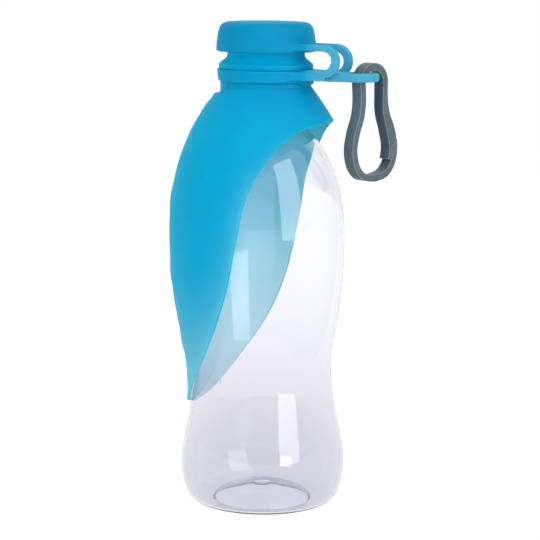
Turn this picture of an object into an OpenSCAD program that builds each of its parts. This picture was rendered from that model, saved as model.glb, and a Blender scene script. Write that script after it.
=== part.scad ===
// Dog travel water bottle: a clear waisted bottle, a soft leaf-shaped bowl that wraps it,
// a push-on cap tied to a neck ring by two looped straps, and a clip that hangs from the ring's tab.
// Origin: the bottle's axis at the base plane. +Z is up, +X points to the tab, -X to the leaf's tip.

/* [Bottle] */
// Height over the cap
total_h = 229.9; // [225:0.1:236]
// Radius of the lower bulge
lower_r = 39.35; // [38.5:0.05:40]
// Radius of the waist
waist_r = 32.7; // [32:0.05:33.2]
// Radius of the upper bulge
upper_r = 38.3; // [37.5:0.05:38.8]
// Outer radius of the neck, a 38 mm finish
neck_r = 18.7; // [18:0.05:19]
// Height of the bottle's mouth
mouth_z = 210.6; // [210.2:0.1:211.2]
// Wall thickness of the bottle
wall = 1.2; // [0.9:0.1:1.4]
// Rise of the push-up in the base
push_up = 6.5; // [5:0.5:9]

/* [Leaf bowl] */
// Largest radius of the leaf
leaf_r = 45.3; // [44.8:0.1:46]
// Thickness of the leaf
leaf_t = 1.8; // [1.4:0.1:2]
// Thickness at the leaf's tip
tip_t = 1.3; // [1:0.1:1.4]
// Height of the leaf's tip
tip_z = 46.5; // [44:0.5:52]
// Height of the leaf's raised midrib
rib_h = 2.4; // [1:0.1:3]
// Half width of the midrib
rib_w = 3.2; // [2:0.1:4]

/* [Spout] */
// Outer radius of the spout
spout_r = 18.15; // [17.5:0.05:18.6]
// Bore radius of the spout
spout_bore_r = 15.9; // [15.4:0.1:16.2]
// Height of the spout's top
spout_z = 226.5; // [226:0.1:226.6]
// Radius of the band round the bottle's lip
band_r = 22.15; // [21.8:0.05:22.6]
// Outer radius of the sleeve's neck under the ring
sleeve_neck_r = 21.4; // [21:0.1:21.8]

/* [Cap, ring and straps] */
// Radius of the cap at its rim
cap_r = 23.4; // [23:0.1:24]
// Height of the cap's rim
cap_rim_z = 216.3; // [215.5:0.1:217]
// Radius of the cap's upper edge
cap_edge_r = 4.4; // [3:0.1:5.4]
// Outer radius of the neck ring
ring_r = 22.9; // [22.6:0.1:23.2]
// Distance from the axis to the tab's hole
tab_x = 46; // [44:0.5:48]
// Half width and end radius of the tab
tab_r = 9; // [8.5:0.1:9.5]
// Radius of the tab's hole
hole_r = 4.3; // [4.1:0.1:4.8]
// Thickness of the tab
band_t = 3.7; // [3:0.1:4]
// Width of each strap
strap_w = 3.7; // [3:0.1:4.5]
// How far the ring's lug under the tab reaches below the ring
lug_h = 2; // [1:0.1:2.4]

/* [Clip] */
// Thickness of the clip across its loop
clip_t = 5.9; // [5:0.1:6.2]
// Width of the clip's bar
bar_w = 3.2; // [2.8:0.1:3.4]
// How much wider the gate is at its foot
foot_w = 2.1; // [1.5:0.1:2.4]
// Radius of the bow's centre line
bow_r = 7.45; // [7:0.05:8]
// Height of the bow's centre
bow_z = 202.9; // [202.5:0.1:203.5]
// Angle of the clip's plane, measured from the tab
clip_angle = 63; // [55:1:70]
// Tilt of the hanging clip in its own plane
clip_tilt = 2.5; // [0:0.5:4]

/* [Hidden] */
$fn = 96;

clear_colour = [0.86, 0.87, 0.93, 0.4];
leaf_colour = [0.0, 0.62, 0.80];
tether_colour = [0.10, 0.62, 0.80];
cap_colour = [0.0, 0.50, 0.70];
clip_colour = [0.30, 0.37, 0.40];

// Bottle side from the contact ring to the neck, as [radius, height]
contact_in_r = 23.3;
contact_out_r = 27;
bottle_side = [[contact_out_r, 0], [34.6, 2.2], [38.0, 8.8], [lower_r, 18], [38.3, 29],
    [36.2, 39.5], [34.2, 50.5], [waist_r + 0.05, 61.5], [waist_r + 0.4, 73], [35.1, 85],
    [36.8, 98], [37.9, 111], [upper_r, 124.5], [37.9, 138], [36.0, 149.5], [32.0, 162],
    [26.2, 172.5], [20.6, 179.2], [neck_r, 184]];
lip_r = 20;
lip_h = 2.2;
gate_mark_r = 4.3;

// Leaf surface where the midrib runs, as [radius, height], and its free edge as
// [angle from the midrib, height]
leaf_side = [[21.0, 200.6], [28.4, 190.2], [35.1, 179], [40.1, 167], [43.3, 154.5], [leaf_r - 0.3, 141.5],
    [leaf_r - 0.05, 127], [44.5, 113], [43.1, 100], [40.5, 87], [37.8, 75], [36.3, 64.5],
    [35.8, 55], [36.5, 46]];
leaf_edge = [[0, tip_z], [23, 50.8], [53.2, 70.1], [74, 89.3], [87.1, 109.6], [92.7, 133],
    [100, 155.9], [117.5, 174.4], [141.6, 182.7], [180, 185.4]];
leaf_arc_r = 44.6;
leaf_shift_z = 112;
half_columns = 36;
leaf_rows = 15;

// Height where the neck ends and the leaf's cone starts
shoulder_z = 200.3;
// Shoulder over the midrib: the neck runs further down here, to a blunt step of this height,
// over this angle to each side, and the midrib starts on the step
step_z = 197;
step_h = 1.1;
step_angle = [22, 48];
rib_start_h = 1.3;

cap_gap = 0.3;
cap_ceiling_z = spout_z + cap_gap;
cap_bore_r = 20.4;
plug_r = spout_bore_r - 0.4;
plug_wall = 2.2;
plug_z = 218;
ring_z = [202.5, 208.1];
tab_z = 203.5;
strap_y = tab_r;
// Outline and hole of each strap's loop, as [x, height, radius]: the far one hangs a little lower
loop_front = [[31.9, 212.8, 7.7], [31.6, 213.1, 4.3]];
loop_back = [[30.9, 211.9, 8.1], [30.6, 212, 4.4]];
groove_r = 20.5;

// Clip: centre line of one side below the bow, as [distance from its middle, height below the bow]
clip_side = [[bow_r, 0], [7.35, -8.5], [8.6, -15.5], [11.6, -22.5], [13.45, -30.5], [12.0, -38.1],
    [7.4, -43.2], [0, -44.8]];
bow_offset = 6.9;
hinge_dz = -1.9;
widen_dz = -7;
widen_h = 17;
latch_gap = 0.3;
edge_bevel = 0.6;

// Smooth curve through the points p, at the position t from 0 to len(p) - 1
function through(p, t) =
    let (i = min(floor(t), len(p) - 2), f = t - i,
        b = p[i], c = p[i + 1],
        a = i > 0 ? p[i - 1] : b,
        d = i + 2 < len(p) ? p[i + 2] : c,
        mb = (c - a) / 2, mc = (d - b) / 2)
    (2 * f^3 - 3 * f^2 + 1) * b + (f^3 - 2 * f^2 + f) * mb
        + (3 * f^2 - 2 * f^3) * c + (f^3 - f^2) * mc;

// The same curve as a list, with n steps between neighbouring points
function smooth(p, n) = [for (k = [0 : n * (len(p) - 1)]) through(p, k / n)];

// A line moved w to its left
function shifted(p, w) = [for (i = [0 : len(p) - 1])
    let (a = p[max(i - 1, 0)], b = p[min(i + 1, len(p) - 1)], d = b - a)
    p[i] + w * [-d[1], d[0]] / norm(d)];

function reversed(p) = [for (i = [len(p) - 1 : -1 : 0]) p[i]];

// Arc about c from angle a to angle b
function arc(c, r, a, b, n) = [for (i = [0 : n])
    c + r * [cos(a + (b - a) * i / n), sin(a + (b - a) * i / n)]];

// Radius on a profile of [radius, falling height] at the height z
function radius_at(p, z, i = 0) =
    i >= len(p) - 2 || p[i + 1][1] <= z
        ? let (f = (p[i][1] - z) / (p[i][1] - p[i + 1][1])) p[i][0] + f * (p[i + 1][0] - p[i][0])
        : radius_at(p, z, i + 1);

// ---------------------------------------------------------------- bottle

module bottle() {
    dome = smooth([[gate_mark_r, push_up], [11, push_up - 0.7], [17, push_up - 2.6],
        [contact_in_r - 1.3, 1.4], [contact_in_r, 0]], 3);
    side = smooth(bottle_side, 3);
    outside = concat([[0, push_up - 0.5], [gate_mark_r - 0.6, push_up - 0.5]], dome, side);
    inside = concat([[0, push_up + wall]], shifted(dome, wall), shifted(side, wall));
    bore_r = neck_r - wall - 0.3;
    lip = concat([[neck_r, mouth_z - lip_h - 0.5], [lip_r - 0.3, mouth_z - lip_h]],
        [[lip_r, mouth_z - lip_h + 0.4], [lip_r, mouth_z - 0.8], [lip_r - 0.6, mouth_z]],
        [[bore_r + 0.4, mouth_z], [bore_r, mouth_z - 0.4], [bore_r, bottle_side[len(bottle_side) - 1][1]]]);
    color(clear_colour)
        rotate_extrude()
            polygon(concat(outside, lip, reversed(inside)));
}

// ---------------------------------------------------------------- leaf-shaped sleeve

leaf_profile = smooth(leaf_side, 5);

// Radius of the sleeve's surface at the height z: the neck's, or the leaf's where that is larger
function leaf_radius(z) = max(sleeve_neck_r, radius_at(leaf_profile, z));

// Below leaf_shift_z the leaf keeps the curvature of leaf_arc_r, so its centre moves off the axis
function leaf_shift(z) = z < leaf_shift_z ? max(0, leaf_arc_r - leaf_radius(z)) : 0;

// Smooth step from 0 to 1
function ease(x) = let (t = min(1, max(0, x))) t * t * (3 - 2 * t);

// How far the surface is drawn in to the neck over the blunt step, from 0 to 1
function step_share(a, z) =
    (1 - ease((abs(a) - step_angle[0]) / (step_angle[1] - step_angle[0])))
        * (1 - ease((step_z - z) / step_h));

// Midrib: a ridge that starts at the step, is highest along the cone and dies away towards the tip
function rib(a, z, r) =
    let (start = rib_start_h + (rib_h - rib_start_h) * ease((step_z - z) / 20),
        fade = min(1, max(0, (z - tip_z - 12) / 98)), x = r * abs(a) * PI / 180 / rib_w)
    start * fade * (1 - ease(x)) * ease((step_z - z) / step_h);

// Point of the leaf at the angle a from the midrib and the height z; depth runs inwards
function leaf_point(a, z, depth) =
    let (r0 = leaf_radius(z), c = leaf_shift(z), r = r0 + c,
        slope = (leaf_radius(z + 1) - leaf_radius(z - 1)) / 2,
        n = [1, -slope] / norm([1, slope]),
        drawn = (r0 - sleeve_neck_r) * step_share(a, z),
        out = r - drawn + (depth > 0 ? 0 : rib(a, z, r)) - depth * n[0])
    [c - out * cos(a), out * sin(a), z - depth * n[1]];

function leaf_thickness(z) = tip_t + (leaf_t - tip_t) * min(1, (z - tip_z) / 40);

// One column of the leaf: down the outside from the neck to the free edge, then up the inside
function leaf_column(k) =
    let (q = abs(k) / half_columns, side = k < 0 ? -1 : 1,
        edge = through(leaf_edge, q * (len(leaf_edge) - 1)),
        top_angle = 180 * pow(q, 1.3), top_z = ring_z[0] - 0.1, low_z = step_z - step_h,
        heights = concat([top_z, shoulder_z, step_z, step_z - 0.35 * step_h, step_z - 0.65 * step_h, low_z],
            [for (j = [1 : leaf_rows]) low_z + (edge[1] - low_z) * pow(j / leaf_rows, 1.4)]),
        shares = [for (h = heights) (top_z - h) / (top_z - edge[1])],
        rows = [for (v = shares)
            [side * (top_angle + (edge[0] - top_angle) * v), top_z + (edge[1] - top_z) * v]])
    concat([for (p = rows) leaf_point(p[0], p[1], 0)],
        [for (p = reversed(rows)) leaf_point(p[0], p[1], leaf_thickness(p[1]))]);

module leaf_blade() {
    columns = [for (k = [-half_columns + 1 : half_columns]) leaf_column(k)];
    n = len(columns);
    m = len(columns[0]);
    faces = [for (i = [0 : n - 1]) for (j = [0 : m - 1])
        let (a = i * m + j, b = i * m + (j + 1) % m,
            c = ((i + 1) % n) * m + (j + 1) % m, d = ((i + 1) % n) * m + j)
        each [[a, b, c], [a, c, d]]];
    polyhedron(points = [for (column = columns) for (p = column) p], faces = faces, convexity = 8);
}

// Neck of the sleeve: it grips the bottle's neck and lip, and narrows to the spout
module sleeve_neck() {
    grip_r = neck_r - 0.1;
    grip_z = 196;
    band_z = 208.7;
    rotate_extrude()
        polygon(concat(
            [[grip_r, grip_z + 0.6], [sleeve_neck_r - 1.4, grip_z], [sleeve_neck_r - 0.4, grip_z + 0.5],
                [sleeve_neck_r - 0.2, grip_z + 0.7], [sleeve_neck_r - 0.2, ring_z[0] - 0.2],
                [groove_r, ring_z[0] - 0.1], [groove_r, ring_z[1] + 0.1]],
            arc([band_r - 1, band_z + 0.6], 1, -60, 0, 4),
            arc([band_r - 1, 210], 1, 0, 55, 4),
            arc([spout_r + 3, 215.1], 3, 235, 180, 6),
            [[spout_r, spout_z - 4.6], [spout_r + 0.9, spout_z - 3.2], [spout_r + 1.75, spout_z - 2.4],
                [spout_r + 1.75, spout_z - 1.5], [spout_r + 0.4, spout_z]],
            [[spout_bore_r + 0.4, spout_z], [spout_bore_r, spout_z - 0.5], [spout_bore_r, mouth_z + 1.6],
                [spout_bore_r + 0.9, mouth_z], [lip_r - 0.1, mouth_z],
                [lip_r - 0.1, mouth_z - lip_h], [grip_r, mouth_z - lip_h - 0.4]]));
}

module leaf_sleeve() {
    color(leaf_colour) {
        union() {
            leaf_blade();
            sleeve_neck();
        }
    }
}

// ---------------------------------------------------------------- ring, straps and cap

// Tab outline drawn in by inset at the sides and at its round end
module tab_outline(inset) {
    union() {
        translate([ring_r - 6, -tab_r + inset])
            square([tab_x - ring_r + 6, 2 * (tab_r - inset)]);
        translate([tab_x, 0])
            circle(tab_r - inset);
    }
}

// Lug under the tab: the ring's outer wall reaches further down here, and fades out to both sides
module tab_lug() {
    intersection() {
        rotate_extrude()
            polygon([[sleeve_neck_r + 0.1, ring_z[0] - lug_h], [ring_r - 0.8, ring_z[0] - lug_h],
                [ring_r - 0.4, ring_z[0] - lug_h + 0.4], [ring_r - 0.4, ring_z[0] + 1],
                [sleeve_neck_r + 0.1, ring_z[0] + 1]]);
        translate([0, ring_r + 1, 0])
            rotate([90, 0, 0])
                linear_extrude(2 * ring_r + 2)
                    polygon([[3, ring_z[0] + 0.1], [18.5, ring_z[0] - lug_h], [25, ring_z[0] - lug_h],
                        [25, ring_z[0] + 1], [3, ring_z[0] + 1]]);
    }
}

module tether_ring() {
    soft = 0.7;
    color(tether_colour)
        difference() {
            union() {
                rotate_extrude()
                    polygon([[groove_r - 0.1, ring_z[0]], [ring_r - 0.9, ring_z[0]],
                        [ring_r - 0.5, ring_z[0] + 0.4], [ring_r, ring_z[1] - 1.2],
                        [ring_r - 0.2, ring_z[1] - 0.4], [ring_r - 0.7, ring_z[1]],
                        [groove_r - 0.1, ring_z[1]]]);
                tab_lug();
                translate([0, 0, tab_z + soft])
                    linear_extrude(band_t - 2 * soft)
                        tab_outline(0);
                translate([0, 0, tab_z])
                    linear_extrude(band_t)
                        tab_outline(soft);
            }
            translate([0, 0, tab_z - 2])
                cylinder(r = groove_r - 0.1, h = 8);
            translate([tab_x, 0, tab_z - 1])
                cylinder(r = hole_r, h = band_t + 2);
        }
}

// Side view of a strap: out from the cap's rim, round the loop and back to the ring.
// Loop holds the circle of its outline and that of its hole.
module strap_outline(loop) {
    outline = loop[0];
    hole = loop[1];
    difference() {
        union() {
            translate([outline[0], outline[1]])
                circle(outline[2]);
            translate([0, outline[1] - outline[2]])
                square([outline[0], 2 * outline[2]]);
        }
        translate([hole[0], hole[1]])
            circle(hole[2]);
        translate([-1, hole[1] - hole[2]])
            square([hole[0] + 1, 2 * hole[2]]);
    }
}

module strap(loop) {
    color(tether_colour)
        difference() {
            translate([0, strap_y + strap_w, 0])
                rotate([90, 0, 0])
                    linear_extrude(strap_w)
                        strap_outline(loop);
            translate([0, 0, cap_rim_z - 2])
                cylinder(r = cap_r + 0.3, h = 12);
            translate([0, 0, ring_z[0] - 2])
                cylinder(r = ring_r, h = ring_z[1] - ring_z[0] + 3.2);
        }
}

module strap_back() {
    strap(loop_back);
}

module strap_front() {
    mirror([0, 1, 0])
        strap(loop_front);
}

module cap() {
    color(cap_colour)
        rotate_extrude()
            polygon(concat(
                [[0, total_h], [cap_r - 1.1 - cap_edge_r, total_h]],
                arc([cap_r - 1.1 - cap_edge_r, total_h - cap_edge_r], cap_edge_r, 80, 10, 6),
                [[cap_r - 0.7, 224.3], [cap_r - 0.2, 220.8], [cap_r, 218], [cap_r, cap_rim_z + 0.8],
                    [cap_r - 0.7, cap_rim_z]],
                [[cap_bore_r + 0.3, cap_rim_z], [cap_bore_r, cap_rim_z + 0.4], [cap_bore_r, cap_ceiling_z]],
                [[plug_r, cap_ceiling_z], [plug_r, plug_z + 1], [plug_r - 0.8, plug_z],
                    [plug_r - plug_wall + 0.3, plug_z], [plug_r - plug_wall, plug_z + 0.5],
                    [plug_r - plug_wall, cap_ceiling_z - 0.8], [plug_r - plug_wall - 0.8, cap_ceiling_z],
                    [0, cap_ceiling_z]]));
}

// ---------------------------------------------------------------- clip

// Closed centre line of the clip, clockwise from the left end of the bow
function clip_line() =
    let (bow = arc([0, 0], bow_r, 180, 0, 14), side = smooth(clip_side, 3), n = len(side) - 1)
    concat(bow, [for (i = [1 : n]) side[i]], [for (i = [n - 1 : -1 : 1]) [-side[i][0], side[i][1]]]);

// That line moved outwards by w, and inwards by up to extra more on the gate's side
function clip_outline(w, extra = 0) =
    let (p = clip_line(), n = len(p))
    [for (i = [0 : n - 1])
        let (d = p[(i + 1) % n] - p[(i + n - 1) % n],
            ramp = p[i][0] > 0 ? min(1, max(0, (widen_dz - p[i][1]) / widen_h)) : 0)
        p[i] + (w - extra * ramp) * [-d[1], d[0]] / norm(d)];

module clip_bar(half, extra = 0) {
    difference() {
        polygon(clip_outline(half));
        polygon(clip_outline(-half, extra));
    }
}

// Region of the gate, drawn in by g where it laps the frame's hook and at the hinge
module gate_region(g) {
    polygon([[3, hinge_dz - g], [18.4, hinge_dz - g], [18.4, -24 + g], [11.3 - g, -30.9 + 0.4 * g],
        [11.3 - g, -31.1 - g], [13.2 - g, -31.5 - g], [12.9 - g, -33.4], [12.0 - g, -35.3],
        [10.6 - g, -37 + g], [3, -37 + g]]);
}

// The clip's outline, laid in its plane and bevelled along its edges
module clip_solid() {
    translate([tab_x, 0, bow_z])
        rotate([0, 0, clip_angle])
            translate([bow_offset, 0, 0])
                rotate([90, 0, 0]) rotate([0, 0, clip_tilt]) {
                    translate([0, 0, -clip_t / 2 + edge_bevel])
                        linear_extrude(clip_t - 2 * edge_bevel)
                            children(0);
                    translate([0, 0, -clip_t / 2])
                        linear_extrude(clip_t)
                            children(1);
                }
}

module clip_frame() {
    color(clip_colour)
        clip_solid() {
            difference() {
                clip_bar(bar_w / 2);
                gate_region(0);
            }
            difference() {
                clip_bar(bar_w / 2 - edge_bevel / 2);
                gate_region(0);
            }
        }
}

module clip_gate() {
    color(clip_colour)
        clip_solid() {
            intersection() {
                clip_bar(bar_w / 2, foot_w);
                gate_region(latch_gap);
            }
            intersection() {
                clip_bar(bar_w / 2 - edge_bevel / 2, foot_w);
                gate_region(latch_gap);
            }
        }
}

bottle();
leaf_sleeve();
tether_ring();
strap_front();
strap_back();
cap();
clip_frame();
clip_gate();
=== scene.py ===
"""Looks of the dog travel water bottle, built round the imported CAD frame.

The studio and the materials are in metres. Shape numbers are in millimetres, and MM turns them into
metres. Z is up along the bottle, and X points from its axis to the tab and the clip.
"""

import math

import bmesh
import bpy
import numpy as np
from mathutils import Matrix, Vector


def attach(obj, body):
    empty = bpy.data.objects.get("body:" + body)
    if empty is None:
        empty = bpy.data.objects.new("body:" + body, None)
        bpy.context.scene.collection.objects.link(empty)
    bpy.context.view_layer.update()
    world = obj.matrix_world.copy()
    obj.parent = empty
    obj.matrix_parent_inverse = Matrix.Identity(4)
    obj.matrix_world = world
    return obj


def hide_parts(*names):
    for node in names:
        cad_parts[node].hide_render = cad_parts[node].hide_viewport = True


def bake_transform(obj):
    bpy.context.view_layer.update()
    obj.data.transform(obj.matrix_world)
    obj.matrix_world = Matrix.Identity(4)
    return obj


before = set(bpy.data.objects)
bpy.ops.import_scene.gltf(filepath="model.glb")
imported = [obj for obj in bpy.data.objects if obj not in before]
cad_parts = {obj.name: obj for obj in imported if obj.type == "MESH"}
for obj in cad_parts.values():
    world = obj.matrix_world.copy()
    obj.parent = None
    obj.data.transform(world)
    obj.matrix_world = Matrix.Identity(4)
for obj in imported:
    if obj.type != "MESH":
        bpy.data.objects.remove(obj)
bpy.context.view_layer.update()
MM = 0.001


# ---------------------------------------------------------------- camera and studio


def make_camera():
    """The photograph's view: 20 degrees round from the front, a little above the middle, slightly rolled."""
    azimuth, distance, height, aim_z = math.radians(20), 0.870, 0.262, 0.115
    roll = math.radians(0.53)
    data = bpy.data.cameras.new("camera")
    data.sensor_width = 36
    data.lens = 123.2
    data.shift_x = 0.0107
    data.shift_y = -0.0106
    data.clip_end = 100
    camera = bpy.data.objects.new("camera", data)
    bpy.context.collection.objects.link(camera)
    place = Vector((distance * math.sin(azimuth), -distance * math.cos(azimuth), height))
    look = Vector((0, 0, aim_z)) - place
    turn = look.to_track_quat("-Z", "Y").to_matrix().to_4x4() @ Matrix.Rotation(roll, 4, "Z")
    camera.matrix_world = Matrix.Translation(place) @ turn
    bpy.context.scene.camera = camera


def add_area(name, centre, target, size, power, seen=True):
    """A rectangular softbox at centre, facing target; one that isn't seen shows in no reflection."""
    data = bpy.data.lights.new(name, "AREA")
    data.shape = "RECTANGLE"
    data.size, data.size_y = size
    data.energy = power
    lamp = bpy.data.objects.new(name, data)
    bpy.context.collection.objects.link(lamp)
    lamp.location = centre
    lamp.rotation_euler = (Vector(target) - Vector(centre)).to_track_quat("-Z", "Y").to_euler()
    if not seen:
        lamp.visible_camera = lamp.visible_glossy = lamp.visible_transmission = False
    return lamp


def is_seen_ray(nodes, links):
    """1 for camera, glossy and transmission rays, and 0 for the rest."""
    path = nodes.new("ShaderNodeLightPath")
    one = nodes.new("ShaderNodeMath")
    one.operation = "MAXIMUM"
    two = nodes.new("ShaderNodeMath")
    two.operation = "MAXIMUM"
    links.new(path.outputs["Is Camera Ray"], one.inputs[0])
    links.new(path.outputs["Is Glossy Ray"], one.inputs[1])
    links.new(one.outputs[0], two.inputs[0])
    links.new(path.outputs["Is Transmission Ray"], two.inputs[1])
    return two.outputs[0]


AMBIENT = 0.40
BACK_OF_ROOM, ROOM_FROM, ROOM_TO, FRONT_LEVEL = (-0.342, 0.94, 1.1), -0.7, 0.45, 0.45


def make_world():
    """White to look at and through; what shines mirrors a room, grey in front and white behind."""
    world = bpy.data.worlds.new("world")
    bpy.context.scene.world = world
    world.use_nodes = True
    nodes, links = world.node_tree.nodes, world.node_tree.links
    nodes.clear()
    out = nodes.new("ShaderNodeOutputWorld")
    mix = nodes.new("ShaderNodeMixShader")
    light = nodes.new("ShaderNodeBackground")
    light.inputs["Strength"].default_value = AMBIENT
    seen = nodes.new("ShaderNodeBackground")
    place = nodes.new("ShaderNodeTexCoord")
    side = nodes.new("ShaderNodeVectorMath")
    side.operation = "DOT_PRODUCT"
    side.inputs[1].default_value = BACK_OF_ROOM
    room = nodes.new("ShaderNodeMapRange")
    room.interpolation_type = "SMOOTHSTEP"
    room.inputs["From Min"].default_value = ROOM_FROM
    room.inputs["From Max"].default_value = ROOM_TO
    room.inputs["To Min"].default_value = FRONT_LEVEL
    path = nodes.new("ShaderNodeLightPath")
    level = nodes.new("ShaderNodeMix")
    level.inputs["A"].default_value = 1.0
    links.new(place.outputs["Generated"], side.inputs[0])
    links.new(side.outputs["Value"], room.inputs["Value"])
    links.new(path.outputs["Is Glossy Ray"], level.inputs["Factor"])
    links.new(room.outputs["Result"], level.inputs["B"])
    links.new(level.outputs["Result"], seen.inputs["Strength"])
    for shader in (light, seen):
        shader.inputs["Color"].default_value = (1, 1, 1, 1)
    links.new(is_seen_ray(nodes, links), mix.inputs["Fac"])
    links.new(light.outputs[0], mix.inputs[1])
    links.new(seen.outputs[0], mix.inputs[2])
    links.new(mix.outputs[0], out.inputs["Surface"])


FLOOR_GLOW_SHARE, FLOOR_GLOW, FLOOR_R, FLOOR_Z = 0.85, 1.12, 30, -0.0002


def make_floor():
    """A white sweep under the bottle: most of its whiteness is its own, the rest keeps a soft shadow."""
    bpy.ops.mesh.primitive_circle_add(vertices=96, radius=FLOOR_R, fill_type="NGON", location=(0, 0, FLOOR_Z))
    floor = bpy.context.object
    floor.name = "floor"
    material = bpy.data.materials.new("floor")
    material.use_nodes = True
    nodes, links = material.node_tree.nodes, material.node_tree.links
    nodes.clear()
    out = nodes.new("ShaderNodeOutputMaterial")
    mix = nodes.new("ShaderNodeMixShader")
    share = nodes.new("ShaderNodeMath")
    share.operation = "MULTIPLY"
    share.inputs[1].default_value = FLOOR_GLOW_SHARE
    diffuse = nodes.new("ShaderNodeBsdfDiffuse")
    diffuse.inputs["Color"].default_value = (0.86, 0.86, 0.87, 1)
    glow = nodes.new("ShaderNodeEmission")
    glow.inputs["Strength"].default_value = FLOOR_GLOW
    links.new(is_seen_ray(nodes, links), share.inputs[0])
    links.new(share.outputs[0], mix.inputs["Fac"])
    links.new(diffuse.outputs[0], mix.inputs[1])
    links.new(glow.outputs[0], mix.inputs[2])
    links.new(mix.outputs[0], out.inputs["Surface"])
    floor.data.materials.append(material)


# ---------------------------------------------------------------- materials


def linear(r, g, b):
    """A colour given as 0 to 255 on screen, as the renderer's linear values."""
    return tuple(((c / 255 + 0.055) / 1.055) ** 2.4 if c > 10 else c / 255 / 12.92 for c in (r, g, b)) + (1,)


def new_material(name, colour, roughness, specular=0.5):
    material = bpy.data.materials.new(name)
    material.use_nodes = True
    shader = material.node_tree.nodes["Principled BSDF"]
    shader.inputs["Base Color"].default_value = colour
    shader.inputs["Roughness"].default_value = roughness
    shader.inputs["Specular IOR Level"].default_value = specular
    return material, shader


def add_noise(material, scale, detail=3):
    """A noise texture in the object's own space."""
    nodes, links = material.node_tree.nodes, material.node_tree.links
    place = nodes.new("ShaderNodeTexCoord")
    noise = nodes.new("ShaderNodeTexNoise")
    noise.inputs["Scale"].default_value = scale
    noise.inputs["Detail"].default_value = detail
    links.new(place.outputs["Object"], noise.inputs["Vector"])
    return noise


def add_bump(material, shader, height, strength, distance):
    nodes, links = material.node_tree.nodes, material.node_tree.links
    bump = nodes.new("ShaderNodeBump")
    bump.inputs["Strength"].default_value = strength
    bump.inputs["Distance"].default_value = distance
    links.new(height, bump.inputs["Height"])
    links.new(bump.outputs["Normal"], shader.inputs["Normal"])


def ramp_between(material, factor, low, high, start=0.35, end=0.65):
    nodes, links = material.node_tree.nodes, material.node_tree.links
    ramp = nodes.new("ShaderNodeValToRGB")
    ramp.color_ramp.elements[0].position = start
    ramp.color_ramp.elements[0].color = low
    ramp.color_ramp.elements[1].position = end
    ramp.color_ramp.elements[1].color = high
    links.new(factor, ramp.inputs["Fac"])
    return ramp


def mix_colours(material, factor, low, high, how="MIX"):
    """Colour from low to high with the factor, or both blended fully where it is None.

    Low and high are each a colour or a socket.
    """
    nodes, links = material.node_tree.nodes, material.node_tree.links
    mix = nodes.new("ShaderNodeMix")
    mix.data_type = "RGBA"
    mix.blend_type = how
    if factor is None:
        mix.inputs["Factor"].default_value = 1.0
    else:
        links.new(factor, mix.inputs["Factor"])
    for value, socket in ((low, mix.inputs["A"]), (high, mix.inputs["B"])):
        if isinstance(value, tuple):
            socket.default_value = value
        else:
            links.new(value, socket)
    return mix.outputs["Result"]


def along(material, axis, start, end):
    """0 to 1 as the object's own X, Y, Z or distance from the origin goes from start to end."""
    nodes, links = material.node_tree.nodes, material.node_tree.links
    place = nodes.new("ShaderNodeTexCoord")
    if axis == "distance":
        parts = nodes.new("ShaderNodeVectorMath")
        parts.operation = "LENGTH"
        value = parts.outputs["Value"]
    else:
        parts = nodes.new("ShaderNodeSeparateXYZ")
        value = parts.outputs[axis]
    share = nodes.new("ShaderNodeMapRange")
    share.interpolation_type = "SMOOTHSTEP"
    share.inputs["From Min"].default_value = start
    share.inputs["From Max"].default_value = end
    links.new(place.outputs["Object"], parts.inputs[0])
    links.new(value, share.inputs["Value"])
    return share.outputs["Result"]


# Painted light: the first shade brightens the spout in the cap's shade; 0.05 to 0.12 are the neck and the
# leaf's body, and the paler ones are painted light let through the leaf.
LEAF_SHADES = [(0, linear(0, 190, 246)), (0.05, linear(0, 161, 213)), (0.12, linear(0, 169, 212)),
               (0.45, linear(98, 188, 216)), (0.7, linear(142, 212, 238)), (1, linear(208, 234, 247))]
CAP_SHADES = [(0, linear(0, 147, 193)), (1, linear(60, 165, 200))]
TETHER_SHADES = [(0, linear(0, 156, 203)), (1, linear(75, 172, 203))]


def silicone(name, shades, paleness, glow, reach):
    """Matte silicone: deep at the first shade and paler towards the last as paleness rises, faintly clouded
    and grained.
    """
    material, shader = new_material(name, shades[0][1], 0.6, 0.1)
    links = material.node_tree.links
    (start, deep), (end, pale) = shades[0], shades[-1]
    depth = ramp_between(material, paleness(material), deep, pale, start, end)
    for position, colour in shades[1:-1]:
        depth.color_ramp.elements.new(position).color = colour
    cloud = add_noise(material, 55, 4)
    veil = ramp_between(material, cloud.outputs["Fac"], (0.94, 0.95, 0.95, 1), (1, 1, 1, 1))
    clouded = mix_colours(material, None, depth.outputs["Color"], veil.outputs["Color"], "MULTIPLY")
    links.new(clouded, shader.inputs["Base Color"])
    grain = add_noise(material, 2600, 2)
    add_bump(material, shader, grain.outputs["Fac"], 0.12, 0.0002)
    shader.inputs["Subsurface Weight"].default_value = glow
    shader.inputs["Subsurface Radius"].default_value = (0.3, 0.9, 1.0)
    shader.inputs["Subsurface Scale"].default_value = reach
    return material


def painted_light_points(material):
    """The share of painted light that the mesh keeps at its points."""
    node = material.node_tree.nodes.new("ShaderNodeAttribute")
    node.attribute_name = "painted_light"
    return node.outputs["Fac"]


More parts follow.
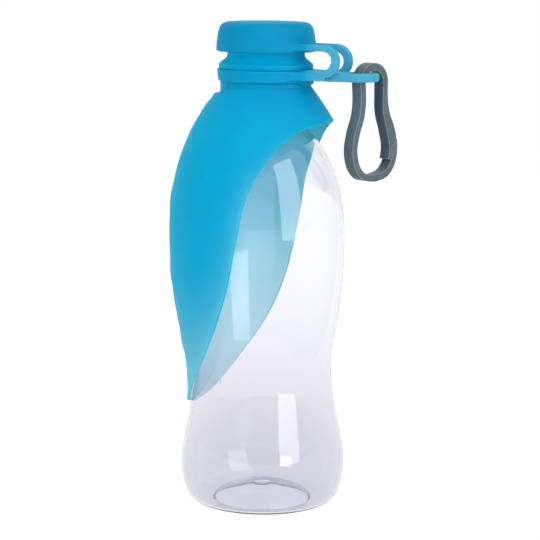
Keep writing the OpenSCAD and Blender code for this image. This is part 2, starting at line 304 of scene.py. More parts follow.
def clear_plastic(name):
    """Clear blow-moulded plastic with a faint ripple. Shadow rays pass, so the lamps light what is inside."""
    material, shader = new_material(name, (0.96, 0.955, 0.985, 1), 0.03, 0.5)
    nodes, links = material.node_tree.nodes, material.node_tree.links
    # Greyer towards the base and bluer grey across the push-up dome: partly the thicker plastic there, partly
    # painted shade for the darker surroundings seen through it.
    rise = along(material, "Z", 0.0, 0.115)
    wall = mix_colours(material, rise, (0.78, 0.775, 0.835, 1), (0.955, 0.95, 0.985, 1))
    out_of_dome = along(material, "distance", 0.0225, 0.0265)
    tint = mix_colours(material, out_of_dome, (0.79, 0.815, 0.87, 1), wall)
    # Darker blue-grey where the surface turns away at the outlines: partly the longer path through the
    # plastic, partly painted shade for the dark surroundings refracted there.
    rim = nodes.new("ShaderNodeLayerWeight")
    rim.inputs["Blend"].default_value = 0.5
    deeper = ramp_between(material, rim.outputs["Facing"], (1, 1, 1, 1), (0.50, 0.56, 0.68, 1), 0.72, 1.0)
    colour = mix_colours(material, None, tint, deeper.outputs["Color"], "MULTIPLY")
    links.new(colour, shader.inputs["Base Color"])
    shader.inputs["Transmission Weight"].default_value = 1.0
    shader.inputs["IOR"].default_value = 1.46
    ripple = add_noise(material, 38, 1)
    add_bump(material, shader, ripple.outputs["Fac"], 0.03, 0.002)
    path = nodes.new("ShaderNodeLightPath")
    see_through = nodes.new("ShaderNodeBsdfTransparent")
    see_through.inputs["Color"].default_value = (0.98, 0.98, 0.99, 1)
    mix = nodes.new("ShaderNodeMixShader")
    links.new(path.outputs["Is Shadow Ray"], mix.inputs["Fac"])
    links.new(shader.outputs[0], mix.inputs[1])
    links.new(see_through.outputs[0], mix.inputs[2])
    links.new(mix.outputs[0], nodes["Material Output"].inputs["Surface"])
    return material


def clip_plastic(name):
    """Grey moulded plastic, satin, with a fine mould grain, and a painted highlight along the edges that the
    mesh marks.
    """
    material, shader = new_material(name, linear(86, 105, 115), 0.42, 0.3)
    grain = add_noise(material, 1500, 3)
    add_bump(material, shader, grain.outputs["Fac"], 0.18, 0.0002)
    cloud = add_noise(material, 120, 3)
    tint = ramp_between(material, cloud.outputs["Fac"], linear(83, 101, 110), linear(92, 110, 118))
    painted_edge_highlight = material.node_tree.nodes.new("ShaderNodeAttribute")
    painted_edge_highlight.attribute_name = "painted_edge_highlight"
    # Painted highlight: paler along the rounded edges that the mesh marks.
    colour = mix_colours(material, painted_edge_highlight.outputs["Fac"], tint.outputs["Color"], linear(176, 190, 198))
    material.node_tree.links.new(colour, shader.inputs["Base Color"])
    return material


# ---------------------------------------------------------------- curves and meshes


def through(points, t):
    """Point of the smooth curve through the points, at the position t from 0 to len(points) - 1."""
    i = min(int(math.floor(t)), len(points) - 2)
    f = t - i
    b, c = np.array(points[i], float), np.array(points[i + 1], float)
    a = np.array(points[i - 1], float) if i > 0 else b
    d = np.array(points[i + 2], float) if i + 2 < len(points) else c
    mb, mc = (c - a) / 2, (d - b) / 2
    return (
        (2 * f**3 - 3 * f**2 + 1) * b
        + (f**3 - 2 * f**2 + f) * mb
        + (3 * f**2 - 2 * f**3) * c
        + (f**3 - f**2) * mc
    )


def smooth(points, n):
    return [through(points, k / n) for k in range(n * (len(points) - 1) + 1)]


def shifted(line, w):
    """The line moved w to its left."""
    out = []
    for i, p in enumerate(line):
        d = np.array(line[min(i + 1, len(line) - 1)]) - np.array(line[max(i - 1, 0)])
        out.append(np.array(p) + w * np.array([-d[1], d[0]]) / np.linalg.norm(d))
    return out


def arc(centre, r, start, end, n):
    angles = [math.radians(start + (end - start) * i / n) for i in range(n + 1)]
    return [np.array([centre[0] + r * math.cos(a), centre[1] + r * math.sin(a)]) for a in angles]


def new_object(name, vertices, faces, material, smooth_angle=40, painted_light=None):
    """A mesh in metres from points in millimetres, shaded smooth up to smooth_angle.

    Where thin is given, the mesh keeps it at its points.
    """
    mesh = bpy.data.meshes.new(name)
    mesh.from_pydata([tuple(float(c) * MM for c in v) for v in vertices], [], faces)
    if painted_light is not None:
        mesh.attributes.new("painted_light", "FLOAT", "POINT").data.foreach_set("value", painted_light)
    mesh.validate()
    tidy = bmesh.new()
    tidy.from_mesh(mesh)
    bmesh.ops.remove_doubles(tidy, verts=tidy.verts, dist=1e-7)
    bmesh.ops.recalc_face_normals(tidy, faces=tidy.faces)
    tidy.to_mesh(mesh)
    tidy.free()
    mesh.materials.append(material)
    mesh.set_sharp_from_angle(angle=math.radians(smooth_angle))
    for polygon in mesh.polygons:
        polygon.use_smooth = True
    obj = bpy.data.objects.new(name, mesh)
    bpy.context.collection.objects.link(obj)
    return obj


def lathe(profile, angles, bump=lambda a: 0.0):
    """Vertices and faces of a closed profile of [radius, z] turned about Z; bump adds to the radius."""
    n, m = len(angles), len(profile)
    vertices = []
    for a in angles:
        extra = bump(a)
        for r, z in profile:
            rr = r + extra if r > 1 else r
            vertices.append((rr * math.cos(a), rr * math.sin(a), z))
    faces = []
    for i in range(n):
        for j in range(m):
            k = (j + 1) % m
            i2 = (i + 1) % n
            faces.append((i * m + j, i2 * m + j, i2 * m + k, i * m + k))
    return vertices, faces


def even_angles(n):
    return [2 * math.pi * i / n for i in range(n)]


def apply_modifiers(obj):
    """Bakes the object's modifiers into its mesh."""
    graph = bpy.context.evaluated_depsgraph_get()
    mesh = bpy.data.meshes.new_from_object(obj.evaluated_get(graph))
    obj.modifiers.clear()
    obj.data = mesh


# ---------------------------------------------------------------- bottle

PUSH_UP, WALL, NECK_R, MOUTH_Z, LIP_R, LIP_H = 6.5, 1.2, 18.7, 210.6, 20.0, 2.2
GATE_MARK_R, GATE_MARK_H, CONTACT_IN_R, NECK_ROOT_Z = 4.3, 0.3, 23.3, 184
SEAM_ANGLES, SEAM_H, SEAM_W = (-108, 72), 0.012, 0.22
BOTTLE_SIDE = [[28.2, 0], [34.9, 2.1], [38.0, 8.8], [39.35, 18], [38.3, 29], [36.2, 39.5], [34.2, 50.5],
               [32.75, 61.5], [33.1, 73], [35.1, 85], [36.8, 98], [37.9, 111], [38.3, 124.5], [37.9, 138],
               [36.0, 149.5], [32.0, 162], [26.2, 172.5], [20.6, 179.2], [NECK_R, NECK_ROOT_Z]]


def make_bottle(material):
    """One closed profile turned about Z, with the mould's two seams as faint ridges."""
    dome = smooth([[GATE_MARK_R, PUSH_UP], [11, PUSH_UP - 0.7], [17, PUSH_UP - 2.6],
                   [CONTACT_IN_R - 1.9, 1.6], [CONTACT_IN_R - 0.8, 0]], 16)
    side = smooth(BOTTLE_SIDE, 8)
    gate_mark = [[0, PUSH_UP - GATE_MARK_H], [GATE_MARK_R - 1.0, PUSH_UP - GATE_MARK_H],
                 [GATE_MARK_R - 0.5, PUSH_UP - 0.2]]
    outside = gate_mark + dome + side
    inside = [[0, PUSH_UP + WALL]] + shifted(dome, WALL) + shifted(side, WALL)
    bore_r = NECK_R - WALL - 0.3
    lip = [[NECK_R, MOUTH_Z - LIP_H - 0.5], [LIP_R - 0.3, MOUTH_Z - LIP_H], [LIP_R, MOUTH_Z - LIP_H + 0.4],
           [LIP_R, MOUTH_Z - 0.8], [LIP_R - 0.6, MOUTH_Z], [bore_r + 0.4, MOUTH_Z], [bore_r, MOUTH_Z - 0.4],
           [bore_r, NECK_ROOT_Z]]
    seams = [math.radians(a) for a in SEAM_ANGLES]
    near = [s + math.radians(d) for s in seams for d in (-0.5, -0.2, 0, 0.2, 0.5)]
    angles = sorted((a % (2 * math.pi) for a in even_angles(180) + near))
    angles = [a for i, a in enumerate(angles) if i == 0 or a - angles[i - 1] > 1e-4]

    def seam(a):
        return max(SEAM_H * math.exp(-((math.degrees(math.remainder(a - s, 2 * math.pi)) / SEAM_W) ** 2))
                   for s in seams)

    vertices, faces = lathe(outside + lip + inside[::-1], angles, seam)
    bottle = new_object("clear_bottle", vertices, faces, material)
    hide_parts("bottle")
    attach(bottle, "bottle")


# ---------------------------------------------------------------- leaf-shaped sleeve

LEAF_SIDE = [[21.0, 200.6], [28.4, 190.2], [35.1, 179], [40.1, 167], [43.3, 154.5], [45.0, 141.5],
             [45.25, 127], [44.5, 113], [43.1, 100], [40.5, 87], [37.8, 75], [36.3, 64.5], [35.8, 55],
             [36.5, 46]]
LEAF_EDGE = [[0, 46.5], [22, 50.8], [50.8, 70.1], [72.2, 89.3], [86.0, 109.6], [93, 133],
             [100, 155.9], [117.5, 174.1], [141.6, 182.7], [180, 185.6]]
LEAF_ARC_R, LEAF_SHIFT_Z, TIP_Z = 44.6, 112.0, 46.5
LEAF_T, TIP_T = 1.8, 1.3
RIB_H, RIB_W, RIB_START_H = 2.4, 3.0, 1.3
STEP_Z, STEP_H, STEP_ANGLE, SLEEVE_NECK_R, RING_Z = 197.0, 1.1, (22, 48), 21.4, (202.5, 208.1)
LEAF_PROFILE = np.array(smooth(LEAF_SIDE, 10))[::-1]
VEIN_STARTS, VEIN_H, VEIN_W = [196, 160, 125, 92], 0.5, 0.9
HALF_COLUMNS, RIM_STEPS, NECK_ROWS, LEAF_ROWS = 130, 6, 24, 72


def leaf_radius(z):
    """Radius of the sleeve's surface: the neck's, or the leaf's where that is larger."""
    return max(SLEEVE_NECK_R, float(np.interp(z, LEAF_PROFILE[:, 1], LEAF_PROFILE[:, 0])))


def ease(x):
    x = min(1.0, max(0.0, x))
    return x * x * (3 - 2 * x)


def step_share(a, z):
    """How far the surface is drawn in to the neck over the blunt step, from 0 to 1."""
    low, high = STEP_ANGLE
    return (1 - ease((abs(a) - low) / (high - low))) * (1 - ease((STEP_Z - z) / STEP_H))


def leaf_relief(a, z, r):
    """Height of the midrib and of the side veins that branch from it towards the edge."""
    across = r * abs(math.radians(a))
    rib = RIB_START_H + (RIB_H - RIB_START_H) * ease((STEP_Z - z) / 20)
    fade = ease((z - TIP_Z - 10) / 95) * ease((STEP_Z - z) / STEP_H)
    height = rib * fade * (1 - ease(across / RIB_W))
    if across < 60:
        for start in VEIN_STARTS:
            centre = start - 0.62 * across - 0.004 * across**2
            d = (z - centre) * 0.8
            out = ease(across / 3) * ease((46 - across) / 22)
            height += VEIN_H * out * math.exp(-((d / VEIN_W) ** 2))
    return height


def leaf_point(a, z, depth, relief=True):
    """The sleeve's point at the angle a from the midrib and the height z, depth below its outer surface."""
    r0 = leaf_radius(z)
    c = max(0.0, LEAF_ARC_R - r0) if z < LEAF_SHIFT_Z else 0.0
    r = r0 + c
    slope = leaf_radius(z + 0.5) - leaf_radius(z - 0.5)
    n = np.array([1, -slope]) / math.hypot(1, slope)
    drawn = (r0 - SLEEVE_NECK_R) * step_share(a, z)
    out = r - drawn + (leaf_relief(a, z, r) if relief else 0) - depth * n[0]
    return (c - out * math.cos(math.radians(a)), out * math.sin(math.radians(a)), z - depth * n[1])


def leaf_painted_light(z, to_edge):
    """Share of painted light let through the leaf, from 0 to 1: more near its edge and towards its tip."""
    edge = 0.22 * math.exp(-to_edge / 6.5) * ease((184 - z) / 42)
    tip = 0.3 * ease((118 - z) / 75) + 0.1 * ease((78 - z) / 30)
    return min(0.46, 0.05 + 0.07 * ease((203 - z) / 22) + (edge + tip) * ease((200 - z) / 8))


def leaf_thickness(z):
    return TIP_T + (LEAF_T - TIP_T) * min(1.0, max(0.0, (z - TIP_Z) / 40))


def make_sleeve(material):
    """Neck, cone and leaf as one surface: each column runs down the outside, round the edge and back."""
    spout_r, bore_r, spout_z, band_r, groove_r = 18.15, 15.9, 226.5, 22.15, 20.5
    neck_r, grip_r = SLEEVE_NECK_R, NECK_R - 0.1
    outer_neck = (
        [[spout_r + 0.4, spout_z], [spout_r + 1.75, spout_z - 1.5], [spout_r + 1.75, spout_z - 2.4],
         [spout_r + 0.9, spout_z - 3.2], [spout_r, spout_z - 4.6]]
        + arc([spout_r + 3, 215.1], 3, 180, 235, 14)
        + arc([band_r - 1, 210], 1, 55, 0, 8)
        + arc([band_r - 0.5, 208.55], 0.5, 0, -85, 8)
        + [[groove_r, RING_Z[1] + 0.1], [groove_r, RING_Z[0] - 0.05]]
    )
    inner_neck = [[neck_r - 2.2, 199.6], [grip_r, 200.2], [grip_r, MOUTH_Z - LIP_H - 0.4],
                  [LIP_R - 0.1, MOUTH_Z - LIP_H], [LIP_R - 0.1, MOUTH_Z], [bore_r + 0.9, MOUTH_Z],
                  [bore_r, MOUTH_Z + 1.6], [bore_r, spout_z - 0.5], [bore_r + 0.4, spout_z]]
    columns, painted_light = [], []
    top_z, low_z = RING_Z[0] - 0.15, STEP_Z - STEP_H - 0.4
    heights = [top_z + (low_z - top_z) * j / NECK_ROWS for j in range(NECK_ROWS + 1)]
    for k in range(-HALF_COLUMNS + 1, HALF_COLUMNS + 1):
        q, side = abs(k) / HALF_COLUMNS, -1 if k < 0 else 1
        edge = through(LEAF_EDGE, q * (len(LEAF_EDGE) - 1))
        top_angle = 180 * q**1.3
        a0 = math.radians(180 - side * top_angle)
        column = [(r * math.cos(a0), r * math.sin(a0), z) for r, z in outer_neck]
        falls = heights + [low_z + (edge[1] - low_z) * (j / LEAF_ROWS) ** 1.2
                           for j in range(1, LEAF_ROWS + 1)]
        places = [(side * (top_angle + (edge[0] - top_angle) * (top_z - z) / (top_z - edge[1])), z)
                  for z in falls]
        to_edge = [LEAF_ARC_R * math.radians(abs(a - places[-1][0])) + abs(z - edge[1]) * 0.5
                   for a, z in places]
        share = [leaf_painted_light(z, d) for (a, z), d in zip(places, to_edge)]
        column += [leaf_point(a, z, 0) for a, z in places]
        t = leaf_thickness(edge[1])
        before, last = np.array(column[-2]), np.array(column[-1])
        inner_edge = np.array(leaf_point(side * edge[0], edge[1], t, False))
        across = inner_edge - last
        width = np.linalg.norm(across)
        ahead = last - before
        ahead -= across * ahead.dot(across) / width**2
        ahead /= np.linalg.norm(ahead)
        for j in range(1, RIM_STEPS):
            b = math.pi * j / RIM_STEPS
            place = (last + inner_edge) / 2 - across / 2 * math.cos(b) + ahead * width / 2 * math.sin(b)
            column.append(tuple(place))
        column += [leaf_point(a, z, leaf_thickness(z), False) for a, z in places[::-1]]
        column += [(r * math.cos(a0), r * math.sin(a0), z) for r, z in inner_neck]
        columns.append(column)
        # Painted light: the inside face is paler, as if lit through the leaf from behind, more so lower down.
        inner = [(0.72 + 0.28 * ease((170 - z) / 90)) * ease((top_z - z) / 10) for _, z in places]
        # The rim's painted light is drawn to the body's share, except low down near the tip.
        rim_share = share[-1] + (0.12 - share[-1]) * ease((edge[1] - 62) / 50)
        # Painted light: from the band up, the outside of the neck takes the brightest shade, against the
        # cap's shade.
        painted_light += ([0.05 * ease((212.6 - z) / 1.4) for _, z in outer_neck] + share
                 + [rim_share] * (RIM_STEPS - 1)
                 + inner[::-1] + [0.0] * len(inner_neck))
    n, m = len(columns), len(columns[0])
    faces = [(i * m + j, i * m + (j + 1) % m, ((i + 1) % n) * m + (j + 1) % m, ((i + 1) % n) * m + j)
             for i in range(n) for j in range(m)]
    vertices = [v for column in columns for v in column]
    sleeve = new_object("leaf_bowl_sleeve", vertices, faces, material, 50, painted_light)
    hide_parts("leaf_sleeve")
    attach(sleeve, "bottle")


# ---------------------------------------------------------------- cap, ring and straps

CAP_R, CAP_RIM_Z, TOTAL_H, CAP_EDGE_R = 23.4, 216.3, 229.9, 4.4
RING_R, TAB_X, TAB_R, HOLE_R, TAB_Z, BAND_T = 22.9, 46.0, 9.0, 4.3, 203.5, 3.7
STRAP_W, LUG_H = 3.7, 1.3
LOOP_FRONT = ([31.9, 212.8, 7.7], [31.6, 213.1, 4.3])
LOOP_BACK = ([30.9, 211.9, 8.1], [30.6, 212.0, 4.4])


def prism(outline, z0, z1):
    """Vertices and faces of an upright prism on a closed outline of [x, y]."""
    n = len(outline)
    vertices = [(x, y, z0) for x, y in outline] + [(x, y, z1) for x, y in outline]
    faces = [tuple(range(n - 1, -1, -1)), tuple(range(n, 2 * n))]
    faces += [(i, (i + 1) % n, n + (i + 1) % n, n + i) for i in range(n)]
    return vertices, faces


def joined(parts):
    vertices, faces = [], []
    for v, f in parts:
        base = len(vertices)
        vertices += list(v)
        faces += [tuple(i + base for i in face) for face in f]
    return vertices, faces


def melt(obj, voxel, rounds):
    """Fuses what overlaps in the mesh and rounds its inner corners, as a moulding's fillets are."""
    remesh = obj.modifiers.new("remesh", "REMESH")
    remesh.mode = "VOXEL"
    remesh.voxel_size = voxel * MM
    soften = obj.modifiers.new("soften", "SMOOTH")
    soften.factor = 0.5
    soften.iterations = rounds
    apply_modifiers(obj)
    for polygon in obj.data.polygons:
        polygon.use_smooth = True


def root_wedge(r, side, y_out, z0, z1, reach=9.0, depth=2.0):
    """Fillet where a strap's outer face meets a round wall of radius r: it fades along the wall."""
    foot = math.asin(y_out / r)
    start = np.array([r * math.cos(foot), y_out])
    along = start + np.array([reach, 0])
    back = foot + reach / r
    wall = np.array([r * math.cos(back), r * math.sin(back)])
    middle = [(1 - t) ** 2 * along + 2 * t * (1 - t) * start + t**2 * wall for t in np.linspace(0, 1, 9)]
    inner = [wall * (1 - depth / r), start - np.array([depth, depth]), along - np.array([0, depth])]
    outline = [(p[0], side * p[1]) for p in list(middle) + inner]
    return prism(outline if side > 0 else outline[::-1], z0, z1)


def make_cap(material):
    """The cap with its plug, and the fillets at the roots of its straps."""
    bore_r, ceiling_z = 20.4, 226.8
    plug_r, plug_wall, plug_z = 15.5, 2.2, 218.0
    profile = (
        [[0, TOTAL_H], [CAP_R - 1.1 - CAP_EDGE_R, TOTAL_H]]
        + arc([CAP_R - 1.1 - CAP_EDGE_R, TOTAL_H - CAP_EDGE_R], CAP_EDGE_R, 88, 8, 12)
        + [[CAP_R - 0.7, 224.3], [CAP_R - 0.2, 220.8], [CAP_R, 218]]
        + arc([CAP_R - 0.8, CAP_RIM_Z + 0.8], 0.8, 0, -90, 6)
        + [[bore_r + 0.3, CAP_RIM_Z], [bore_r, CAP_RIM_Z + 0.4], [bore_r, ceiling_z], [plug_r, ceiling_z],
           [plug_r, plug_z + 1], [plug_r - 0.8, plug_z], [plug_r - plug_wall + 0.3, plug_z],
           [plug_r - plug_wall, plug_z + 0.5], [plug_r - plug_wall, ceiling_z - 0.8],
           [plug_r - plug_wall - 0.8, ceiling_z], [0, ceiling_z]]
    )
    parts = [lathe(profile, even_angles(160))]
    for side, (outline, hole) in ((-1, LOOP_FRONT), (1, LOOP_BACK)):
        low, high = hole[1] + hole[2], outline[1] + outline[2]
        parts.append(root_wedge(CAP_R - 0.15, side, TAB_R + STRAP_W, low, high))
    cap = new_object("push_on_cap", *joined(parts), material, 60)
    melt(cap, 0.4, 3)
    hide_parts("cap")
    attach(cap, "cap")


def make_ring(material):
    """The neck ring with its tab, the straps' lower roots and the lug; the tab's hole is drilled last."""
    soft = 0.8
    groove_r = 20.4
    profile = [[groove_r, RING_Z[0]], [RING_R - 0.9, RING_Z[0]], [RING_R - 0.5, RING_Z[0] + 0.4],
               [RING_R, RING_Z[1] - 1.2], [RING_R, RING_Z[1] - 0.2], [RING_R - 0.2, RING_Z[1]],
               [groove_r, RING_Z[1]]]

    def tab_outline(inset):
        r = TAB_R - inset
        return [(21.2, -r)] + [tuple(p) for p in arc([TAB_X, 0], r, -90, 90, 36)] + [(21.2, r)]

    top = TAB_Z + BAND_T + 0.2
    layers = [(TAB_Z, soft), (TAB_Z + 0.25, soft * 0.4), (TAB_Z + soft, 0.0), (top - soft, 0.0),
              (top - 0.25, soft * 0.4), (top, soft)]
    rings = [tab_outline(inset) for _, inset in layers]
    count = len(rings[0])
    vertices = [(x, y, z) for (z, _), ring in zip(layers, rings) for x, y in ring]
    steps = len(layers) - 1
    faces = [tuple(range(count - 1, -1, -1)), tuple(range(steps * count, (steps + 1) * count))]
    for layer in range(steps):
        for i in range(count):
            a, b = layer * count + i, layer * count + (i + 1) % count
            faces.append((a, b, b + count, a + count))
    tab = (vertices, faces)
    parts = [lathe(profile, even_angles(160)), tab]
    for side, (outline, hole) in ((-1, LOOP_FRONT), (1, LOOP_BACK)):
        low, high = outline[1] - outline[2], min(hole[1] - hole[2], RING_Z[1] - 0.3)
        parts.append(root_wedge(RING_R - 0.25, side, TAB_R + STRAP_W, TAB_Z + 0.3, high))
        y0, y1 = sorted((side * (TAB_R - 0.6), side * (TAB_R + STRAP_W)))
        web_top = low + 2.2
        web = [(18.3, y0), (outline[0] + 1, y0), (outline[0] + 1, y1), (18.3, y1)]
        parts.append(prism(web, TAB_Z + 0.3, web_top))
    lug_profile = [[SLEEVE_NECK_R + 0.1, -LUG_H], [RING_R - 0.8, -LUG_H], [RING_R - 0.4, 0.4 - LUG_H],
                   [RING_R - 0.4, 1.0], [SLEEVE_NECK_R + 0.1, 1.0]]
    rows = 60
    lug = []
    for i in range(rows + 1):
        a = math.radians(-62 + 124 * i / rows)
        x = RING_R * math.cos(a)
        drop = LUG_H * (ease((x - 19.8) / 1.9) * 1.1 - 0.1)
        for r, z in lug_profile:
            zz = RING_Z[0] + (z if z > 0 else z + LUG_H - drop)
            lug.append((r * math.cos(a), r * math.sin(a), zz))
    m = len(lug_profile)
    lug_faces = [(i * m + j, (i + 1) * m + j, (i + 1) * m + (j + 1) % m, i * m + (j + 1) % m)
                 for i in range(rows) for j in range(m)]
    lug_faces += [tuple(range(m)), tuple(range(rows * m + m - 1, rows * m - 1, -1))]
    parts.append((lug, lug_faces))
    ring = new_object("tether_ring_and_tab", *joined(parts), material, 60)
    melt(ring, 0.3, 2)
    bpy.ops.mesh.primitive_cylinder_add(vertices=64, radius=HOLE_R * MM, depth=0.02,
                                        location=(TAB_X * MM, 0, (TAB_Z + 1.8) * MM))
    drill = bpy.context.object
    cut = ring.modifiers.new("hole", "BOOLEAN")
    cut.operation = "DIFFERENCE"
    cut.solver = "EXACT"
    cut.object = drill
    apply_modifiers(ring)
    bpy.data.objects.remove(drill)
    ring.data.set_sharp_from_angle(angle=math.radians(50))
    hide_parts("tether_ring")
    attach(ring, "bottle")


def make_strap(name, node, side, loop, material):
    """A looped band: out from the cap's side, round and back under itself to the ring."""
    (ox, oz, outer_r), (hx, hz, hole_r) = loop
    start_x, flat, turn = 18.7, 10, 36

    def loop_line(x, z, r):
        return ([np.array([start_x + (x - start_x) * i / flat, z + r]) for i in range(flat)]
                + arc([x, z], r, 90, -90, turn)
                + [np.array([x - (x - start_x) * i / flat, z - r]) for i in range(1, flat + 1)])

    outer, inner = loop_line(ox, oz, outer_r), loop_line(hx, hz, hole_r)
    inner = [p - np.array([0, 0.9 * ease((25 - p[0]) / 5.5)]) if p[1] < hz else p for p in inner]
    corner, w = 0.9, STRAP_W / 2
    vertices, faces, m = [], [], 0
    for p_out, p_in in zip(outer, inner):
        thick = np.linalg.norm(p_out - p_in)
        h, middle, normal = thick / 2, (p_out + p_in) / 2, (p_out - p_in) / thick
        section = []
        for cx, cz, start in ((1, 1, 0), (-1, 1, 90), (-1, -1, 180), (1, -1, 270)):
            section += arc([cx * (w - corner), cz * (h - corner)], corner, start, start + 90, 5)
        m = len(section)
        for sy, sn in section:
            p = middle + normal * sn
            vertices.append((p[0], side * (TAB_R + STRAP_W / 2) + sy, p[1]))
    for i in range(len(outer) - 1):
        for j in range(m):
            k = (j + 1) % m
            faces.append((i * m + j, i * m + k, (i + 1) * m + k, (i + 1) * m + j))
    faces += [tuple(range(m)), tuple(range(len(vertices) - 1, len(vertices) - 1 - m, -1))]
    strap = new_object(name, vertices, faces, material, 50)
    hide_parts(node)
    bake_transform(strap)


# ---------------------------------------------------------------- clip

BOW_R, BOW_Z, CLIP_ANGLE, CLIP_T, BAR_W, FOOT_W = 7.45, 202.9, 63.0, 5.9, 3.2, 2.1
BOW_OFFSET, HINGE_DZ, WIDEN_DZ, WIDEN_H, LATCH_GAP, CLIP_TILT = 6.9, -1.9, -7.0, 17.0, 0.3, 2.5
HOOK_Z, FOOT_Z, CLIP_BEVEL, FLAT_AREA = -37.3, -36.7, 0.75, 0.7
CLIP_SIDE = [[BOW_R, 0], [7.35, -8.5], [8.6, -15.5], [11.6, -22.5], [13.45, -30.5], [12.0, -38.1],
             [7.4, -43.2], [0, -44.8]]


def clip_line():
    """Closed centre line of the clip, clockwise from the left end of the bow."""
    side = smooth(CLIP_SIDE, 8)
    return (arc([0, 0], BOW_R, 180, 0, 36) + [np.array(p) for p in side[1:]]
            + [np.array([-p[0], p[1]]) for p in side[-2:0:-1]])


def clip_outline(w, extra=0.0):
    """That line moved outwards by w, and inwards by up to extra more on the gate's side."""
    line = clip_line()
    n = len(line)
    out = []
    for i, p in enumerate(line):
        d = line[(i + 1) % n] - line[(i + n - 1) % n]
        ramp = min(1, max(0, (WIDEN_DZ - p[1]) / WIDEN_H)) if p[0] > 0 else 0
        out.append(p + (w - extra * ramp) * np.array([-d[1], d[0]]) / np.linalg.norm(d))
    return out


def right_side(outline, high, low):
    """The outline's points on the right between two heights, from the top down."""
    points = [p for p in outline if p[0] > 3 and low < p[1] < high]
    return sorted(points, key=lambda p: -p[1])


def at_height(outline, z):
    """Where the outline's right side crosses the height z."""
    points = sorted((p for p in outline if p[0] > 3), key=lambda p: p[1])
    return np.array([np.interp(z, [p[1] for p in points], [p[0] for p in points]), z])


def latch(g):
    """The line where the gate's foot laps the frame's hook, from the outside inwards."""
    return [np.array(p) for p in ([11.3 - g, -30.9 + 0.4 * g], [11.3 - g, -31.1 - g], [13.2 - g, -31.5 - g],
                                  [12.9 - g, -33.4], [12.0 - g, -35.3], [10.6 - g, -37 + g])]


def clip_place(s, n, z):
    """A point of the clip, from its place along the loop's plane, across it, and the height over the bow."""
    u = (math.cos(math.radians(CLIP_ANGLE)), math.sin(math.radians(CLIP_ANGLE)))
    tilt = math.radians(CLIP_TILT)
    s, z = s * math.cos(tilt) - z * math.sin(tilt), s * math.sin(tilt) + z * math.cos(tilt)
    return (TAB_X + (BOW_OFFSET + s) * u[0] - n * u[1], (BOW_OFFSET + s) * u[1] + n * u[0], BOW_Z + z)


def make_bar(name, outline, material):
    """The outline as a bar of the clip's thickness, its edges rounded except at the hinge's flat end.

    The rounded edges are marked for a painted highlight: the points that touch no face larger than FLAT_AREA.
    """
    n = len(outline)
    vertices = [clip_place(s, side * CLIP_T / 2, z) for side in (-1, 1) for s, z in outline]
    faces = [tuple(range(n - 1, -1, -1)), tuple(range(n, 2 * n))]
    faces += [(i, (i + 1) % n, n + (i + 1) % n, n + i) for i in range(n)]
    obj = new_object(name, vertices, faces, material, 30)
    edit = bmesh.new()
    edit.from_mesh(obj.data)
    weight = edit.edges.layers.float.new("bevel_weight_edge")
    hinge = [Vector([c * MM for c in clip_place(s, 0, HINGE_DZ)]) for s in (0, 10)]
    along = (hinge[1] - hinge[0]).normalized()
    down = along.cross(Vector((-math.sin(math.radians(CLIP_ANGLE)), math.cos(math.radians(CLIP_ANGLE)), 0)))
    for edge in edit.edges:
        at_hinge = all(abs((v.co - hinge[0]).dot(down)) < 1e-6 and (v.co - hinge[0]).dot(along) > 0
                       for v in edge.verts)
        if edge.calc_face_angle(0) > math.radians(35) and not at_hinge:
            edge[weight] = 1.0
    edit.to_mesh(obj.data)
    edit.free()
    bevel = obj.modifiers.new("bevel", "BEVEL")
    bevel.limit_method = "WEIGHT"
    bevel.width = CLIP_BEVEL * MM
    bevel.segments = 4
    bevel.use_clamp_overlap = True
    apply_modifiers(obj)
    mesh = obj.data
    # Painted highlight on the rounded edges: 1 on the points of the bevels, 0 where a large flat face
    # touches.
    painted_edge_highlight = np.ones(len(mesh.vertices))
    for polygon in mesh.polygons:
        if polygon.area > FLAT_AREA * MM**2:
            painted_edge_highlight[list(polygon.vertices)] = 0
    mesh.attributes.new("painted_edge_highlight", "FLOAT", "POINT").data.foreach_set("value", painted_edge_highlight)
    for polygon in mesh.polygons:
        polygon.use_smooth = True
    mesh.set_sharp_from_angle(angle=math.radians(35))
    return obj


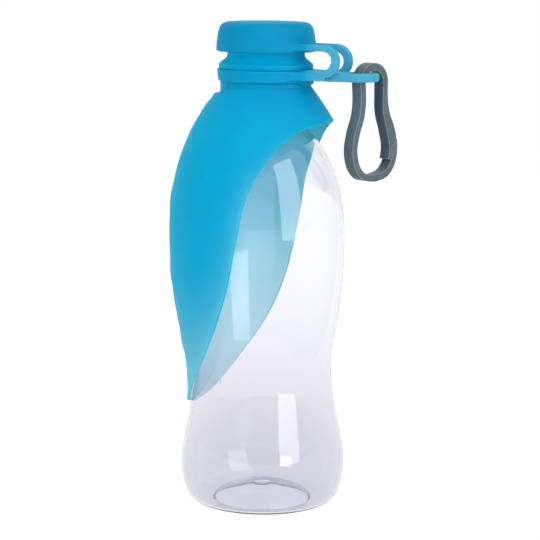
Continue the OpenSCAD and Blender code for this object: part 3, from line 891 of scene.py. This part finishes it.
def make_clip(material):
    """The frame and the gate, whose foot laps the frame's hook along the latch line."""
    half = BAR_W / 2
    outer, inner = clip_outline(half), clip_outline(-half)
    gate_inner = clip_outline(-half, FOOT_W)
    tip_z, notch_z = -27.4, -26.6
    low_in = at_height(inner, HOOK_Z)
    line = latch(0)

    def run(outline, from_z, to_z):
        """The outline's points over the bow: backwards from the hinge's height to the hook's."""
        n = len(outline)
        keep = [i for i, p in enumerate(outline) if not (p[0] > 3 and to_z <= p[1] <= from_z)]
        gap = next(i for i in range(len(keep)) if (keep[i] - keep[i - 1]) % n != 1)
        ordered = keep[gap:] + keep[:gap]
        return [outline[i] for i in ordered]

    outer_run = run(outer, HINGE_DZ, tip_z)
    inner_run = run(inner, HINGE_DZ, HOOK_Z)
    frame_outline = (
        [at_height(outer, tip_z)] + outer_run + [at_height(outer, HINGE_DZ), at_height(inner, HINGE_DZ)]
        + inner_run[::-1] + [low_in] + line[::-1]
    )
    frame_bar = make_bar("clip_body", frame_outline, material)
    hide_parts("clip_frame")
    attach(frame_bar, "clip")

    foot = latch(LATCH_GAP)
    gate_outline = (
        [at_height(outer, HINGE_DZ)] + right_side(outer, HINGE_DZ, notch_z) + [at_height(outer, notch_z)]
        + foot + [at_height(gate_inner, FOOT_Z)]
        + right_side(gate_inner, HINGE_DZ, FOOT_Z)[::-1] + [at_height(gate_inner, HINGE_DZ)]
    )
    gate = make_bar("clip_gate_arm", gate_outline, material)
    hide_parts("clip_gate")
    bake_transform(gate)


# ---------------------------------------------------------------- the whole

make_camera()
make_world()
make_floor()
add_area("softbox_left", (-0.45, -1.05, 0.45), (0, 0, 0.12), (0.6, 1.1), 5.6, seen=False)
add_area("softbox_right", (0.90, -0.62, 0.55), (0, 0, 0.13), (0.5, 1.3), 6.6, seen=False)
strip = add_area("strip_right", (0.943, -0.558, 0.55), (0, 0, 0.13), (0.67, 1.3), 8.4)
square = add_area("square_lamp", (-0.285, -0.905, 0.30), (0, 0.037, 0.009), (0.31, 0.26), 1.9)
strip.visible_diffuse = square.visible_diffuse = square.visible_glossy = False
add_area("softbox_top", (0.0, 0.0, 1.3), (0, 0, 0.1), (0.9, 0.9), 2.0)
add_area("softbox_back", (-0.35, 1.1, 0.45), (0, 0, 0.12), (1.2, 1.2), 9.5, seen=False)

make_bottle(clear_plastic("clear_plastic"))
# The leaf's paleness is painted light: light let through its thin edge and tip, its lit inside face, and the
# spout brightened in the cap's shade.
make_sleeve(silicone("leaf_silicone", LEAF_SHADES, painted_light_points, 1.0, 0.006))
make_cap(silicone("cap_silicone", CAP_SHADES, lambda m: along(m, "X", 0.0215, 0.028), 0.3, 0.002))
tether = silicone("tether_silicone", TETHER_SHADES, lambda m: along(m, "X", 0.021, 0.031), 0.5, 0.003)
make_ring(tether)
make_strap("strap_near", "strap_front", -1, LOOP_FRONT, tether)
make_strap("strap_far", "strap_back", 1, LOOP_BACK, tether)
make_clip(clip_plastic("clip_plastic"))

view = bpy.context.scene.view_settings
view.view_transform = "Standard"
bpy.context.view_layer.update()
